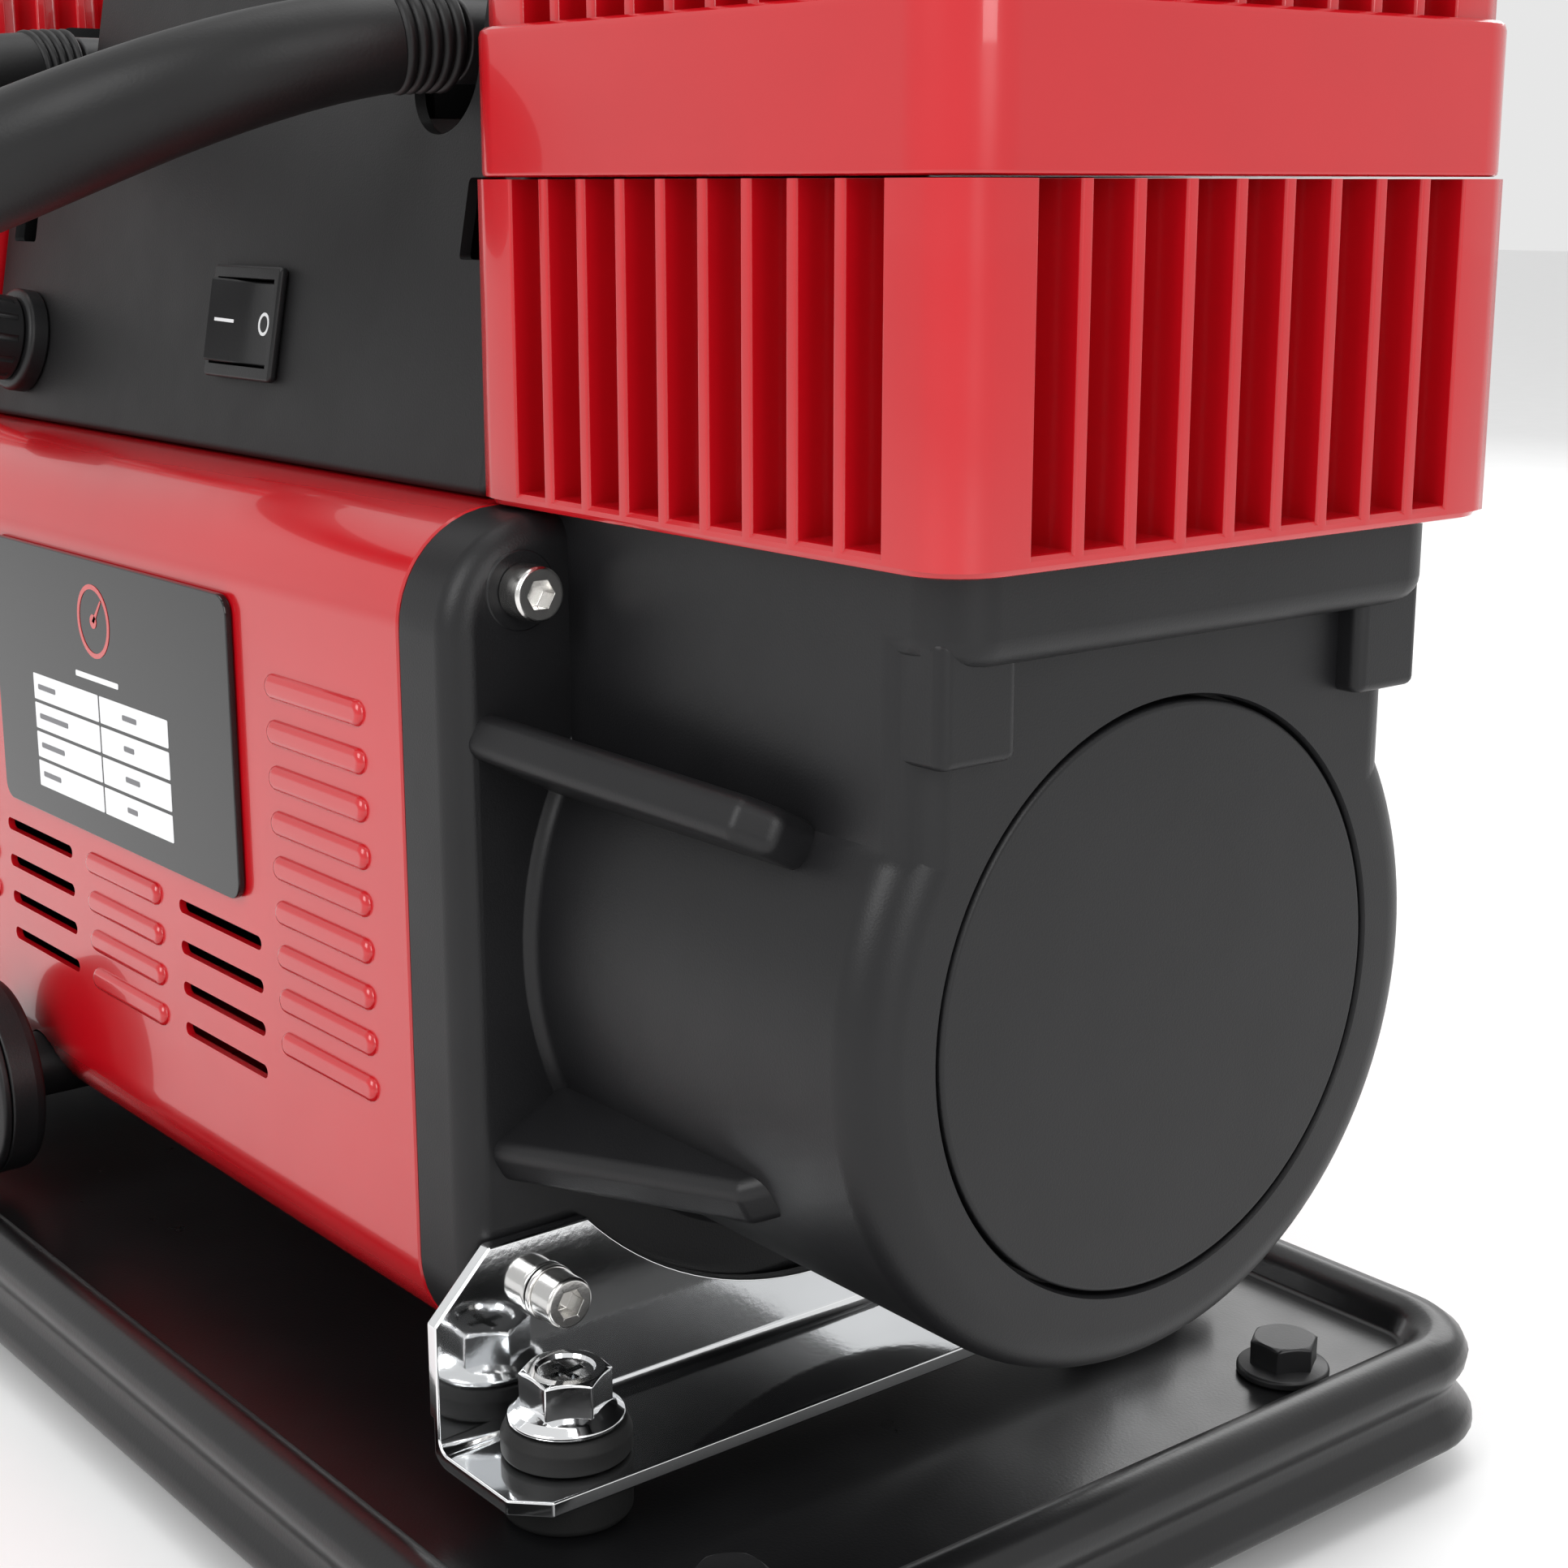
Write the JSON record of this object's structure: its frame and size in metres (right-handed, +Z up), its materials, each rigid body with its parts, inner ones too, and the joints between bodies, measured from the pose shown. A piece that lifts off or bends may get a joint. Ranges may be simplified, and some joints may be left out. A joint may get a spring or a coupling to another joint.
{
  "type": "air compressor",
  "caption": "Portable direct-drive air compressor with finned cylinders at both ends of one motor, on a pressed tray with a folding carrying handle.",
  "frame": {"origin": "on the ground, under the middle of the object's box", "axes": "+Z up, +X along the motor shaft towards the right-hand cylinder seen from the switch side, -Y towards the switch, label and handle"},
  "size_m": [0.501, 0.2616, 0.315],
  "materials": {
    "red_enamel": "gloss",
    "black_powder_coat": "satin",
    "tray_paint": "satin",
    "rubber": "matte",
    "chrome": "polished",
    "stainless": "polished",
    "black_steel": "satin",
    "plastic": "satin",
    "steel": "satin",
    "aluminium": "satin",
    "brass": "satin",
    "label": "gloss"
  },
  "bodies": {
    "frame": {"base_tray": "tray_paint", "motor_cover": "red_enamel", "motor_can": "steel", "label_plate": "label", "shroud": "black_powder_coat", "switch_bezel": "plastic", "cable_gland": "plastic", "gland_nut": "plastic", "handle_axle": "steel", "delivery_pipe": "aluminium", "outlet_coupler": "brass", "air_filter_body": "plastic", "air_filter_cap": "plastic", "foot_front_left": "rubber", "foot_bolt_front_left": "black_steel", "isolator_front_left": "rubber", "bracket_bolt_front_left": "chrome", "bracket_screw_front_left": "stainless", "plate_screw_front_left": "stainless", "foot_front_right": "rubber", "foot_bolt_front_right": "black_steel", "isolator_front_right": "rubber", "bracket_bolt_front_right": "chrome", "bracket_screw_front_right": "stainless", "plate_screw_front_right": "stainless", "foot_rear_left": "rubber", "foot_bolt_rear_left": "black_steel", "isolator_rear_left": "rubber", "bracket_bolt_rear_left": "chrome", "bracket_screw_rear_left": "stainless", "plate_screw_rear_left": "stainless", "foot_rear_right": "rubber", "foot_bolt_rear_right": "black_steel", "isolator_rear_right": "rubber", "bracket_bolt_rear_right": "chrome", "bracket_screw_rear_right": "stainless", "plate_screw_rear_right": "stainless", "mount_bracket_left": "chrome", "crankcase_left": "black_powder_coat", "crankcase_cover_left": "black_powder_coat", "cylinder_left": "red_enamel", "head_left": "red_enamel", "valve_plate_left": "steel", "bearing_left": "steel", "mount_bracket_right": "chrome", "crankcase_right": "black_powder_coat", "crankcase_cover_right": "black_powder_coat", "cylinder_right": "red_enamel", "head_right": "red_enamel", "valve_plate_right": "steel", "bearing_right": "steel"},
    "shaft": {"rotor": "steel", "crank_left": "steel", "crank_right": "steel"},
    "piston_left": {"piston_left": "aluminium"},
    "piston_right": {"piston_right": "aluminium"},
    "carry_handle": {"handle_frame": "black_steel", "handle_grip": "rubber"},
    "rocker": {"switch_rocker": "plastic"}
  },
  "joints": [
    {"name": "shaft_spin", "type": "hinge", "parent": "frame", "child": "shaft", "pos_m": [0, 0.01234, 0.127], "axis": [1, 0, 0], "continuous": true},
    {"name": "piston_left_stroke", "type": "slide", "parent": "frame", "child": "piston_left", "axis": [0, 0, 1], "range_m": [-0.012, 0.012]},
    {"name": "piston_right_stroke", "type": "slide", "parent": "frame", "child": "piston_right", "axis": [0, 0, 1], "range_m": [-0.012, 0.012]},
    {"name": "handle_swing", "type": "hinge", "parent": "frame", "child": "carry_handle", "pos_m": [0, -0.01766, 0.2894], "axis": [-1, 0, 0], "range_deg": [0, 105]},
    {"name": "switch_rock", "type": "hinge", "parent": "frame", "child": "rocker", "pos_m": [0.019, -0.03934, 0.23326], "axis": [0, -0.184, -0.9829], "range_deg": [0, 22]}
  ]
}
